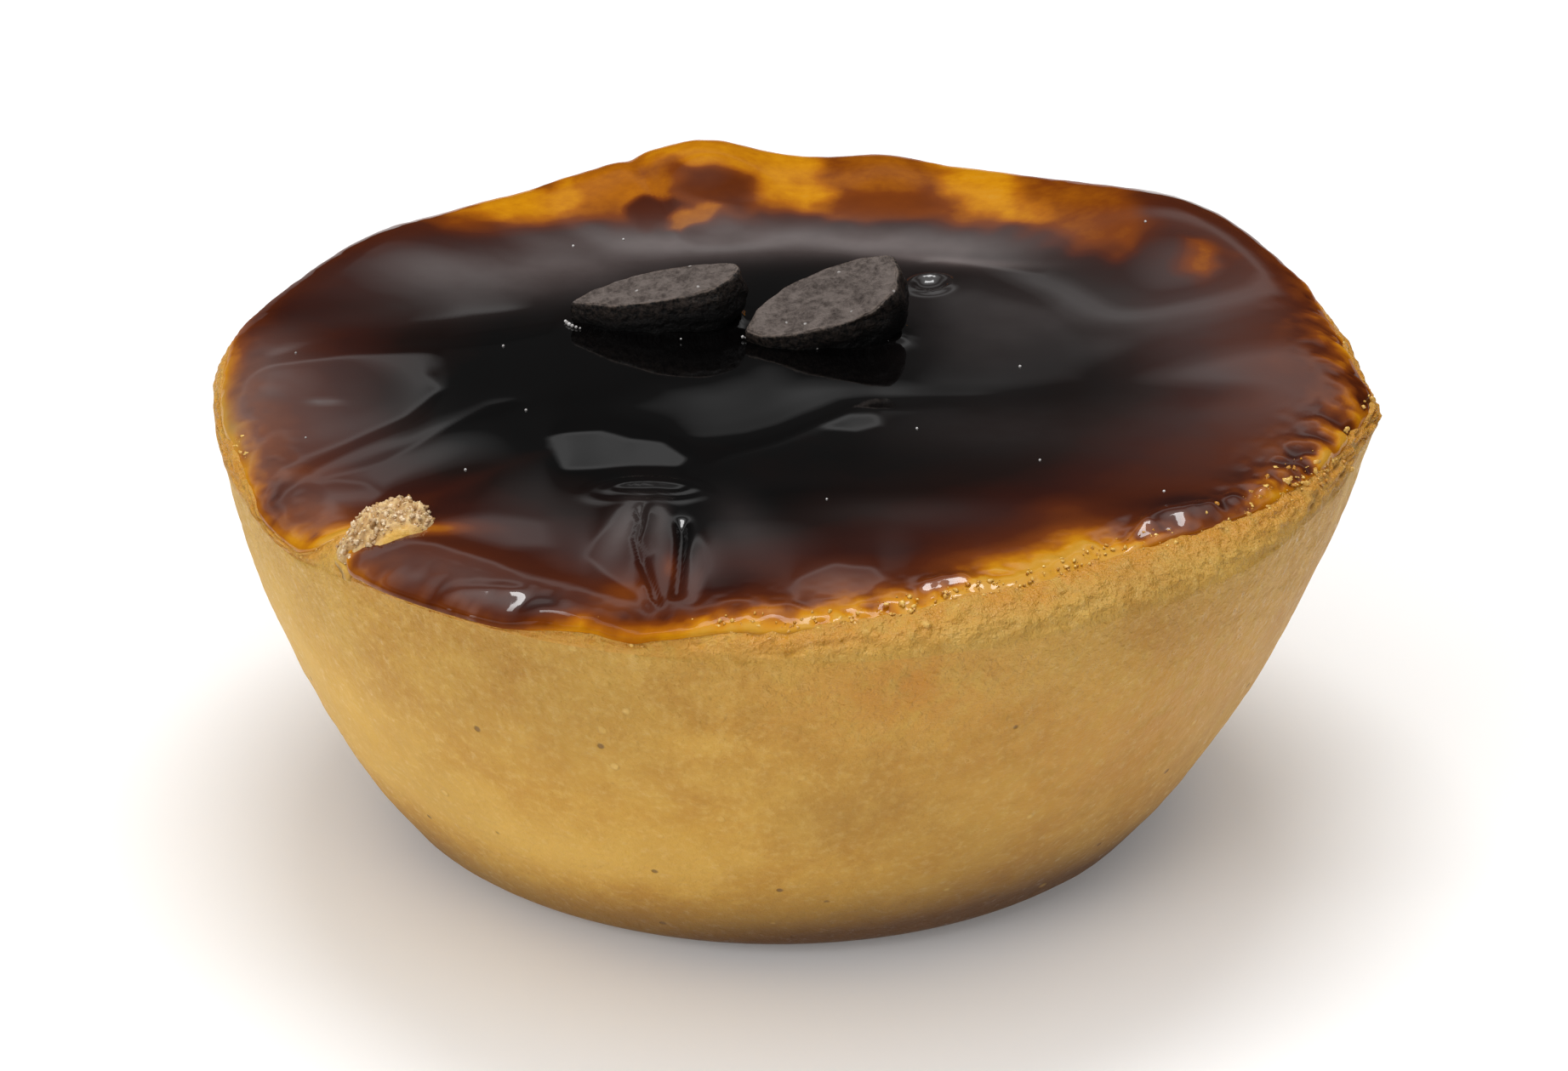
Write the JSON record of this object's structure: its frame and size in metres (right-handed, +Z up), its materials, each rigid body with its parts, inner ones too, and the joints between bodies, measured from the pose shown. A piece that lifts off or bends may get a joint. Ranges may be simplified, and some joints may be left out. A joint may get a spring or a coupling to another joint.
{
  "type": "coffee queijada",
  "caption": "Round baked tart with a pale crust cup, a dark glossy coffee glaze on top and chocolate pieces set in the glaze.",
  "frame": {"origin": "middle of the flat base on which the tart rests", "axes": "+Z up through the tart's top, -Y towards the front that the picture shows, +X to the right of that view"},
  "size_m": [0.0703, 0.0698, 0.0317],
  "materials": {
    "baked_crust": "pale baked pastry, slightly moist",
    "coffee_glaze": "glossy dark coffee caramel",
    "dark_chocolate": "matte dark chocolate with a dull cut face"
  },
  "bodies": {
    "root": {"tart_body": "baked_crust", "coffee_glaze": "coffee_glaze", "chocolate_piece_left": "dark_chocolate", "chocolate_piece_right": "dark_chocolate"}
  },
  "joints": []
}
